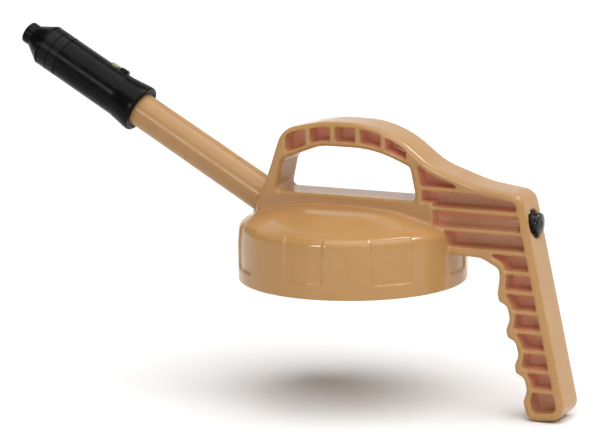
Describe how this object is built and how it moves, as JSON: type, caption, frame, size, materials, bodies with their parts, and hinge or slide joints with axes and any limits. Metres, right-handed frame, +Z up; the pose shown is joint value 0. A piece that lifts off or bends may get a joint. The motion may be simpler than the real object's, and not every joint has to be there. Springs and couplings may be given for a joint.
{
  "type": "oil drum pouring lid",
  "caption": "Wide-mouth screw lid for an oil drum, with a long twist-to-open spout, a carrying handle, a ribbed pistol grip and a thumb vent button.",
  "frame": {"origin": "centre of the lid's mouth in the plane of its bottom rim, on the thread axis", "axes": "+Z up along the thread axis, -X towards the spout, +X towards the pistol grip, Y across the symmetry plane"},
  "size_m": [0.3512, 0.132, 0.209],
  "materials": {
    "moulded_body": "satin moulded plastic, tan",
    "spout_tube": "satin moulded plastic, tan",
    "cam_lug": "satin moulded plastic, olive tan",
    "nozzle": "semi-gloss black plastic",
    "button": "gloss black plastic",
    "black_plastic": "satin black plastic",
    "seal": "matt black rubber",
    "steel": "bright drawn steel"
  },
  "bodies": {
    "lid": {"lid_shell": "moulded_body", "carry_handle": "moulded_body", "pour_grip": "moulded_body", "lid_gasket": "seal", "spout_tube": "spout_tube", "socket_oring": "seal", "tube_oring_rear": "seal", "tube_oring_front": "seal", "cam_lug": "cam_lug", "valve_plug": "black_plastic", "plug_oring": "seal", "rod_bush": "black_plastic", "vent_spring": "steel"},
    "wiper": {"sleeve_wiper": "seal"},
    "nozzle": {"nozzle_sleeve": "nozzle"},
    "vent": {"vent_button": "button", "vent_rod": "steel", "vent_poppet": "black_plastic", "vent_seal": "seal", "rod_clip": "steel"}
  },
  "joints": [
    {"name": "nozzle_advance", "type": "slide", "parent": "lid", "child": "wiper", "axis": [-0.8717, 0, 0.49], "range_m": [0, 0.004]},
    {"name": "nozzle_twist", "type": "hinge", "parent": "wiper", "child": "nozzle", "pos_m": [-0.15317, 0, 0.0983], "axis": [0.8717, 0, -0.49], "range_deg": [0, 50]},
    {"name": "vent_press", "type": "slide", "parent": "lid", "child": "vent", "axis": [-1, 0, 0], "range_m": [0, 0.003], "stiffness_N_per_m": 500, "springref_m": -0.004, "deforming": ["vent_spring"]}
  ],
  "couplings": [
    {"joint": "nozzle_twist", "follows": "nozzle_advance", "rad_per_m": 218.17}
  ]
}
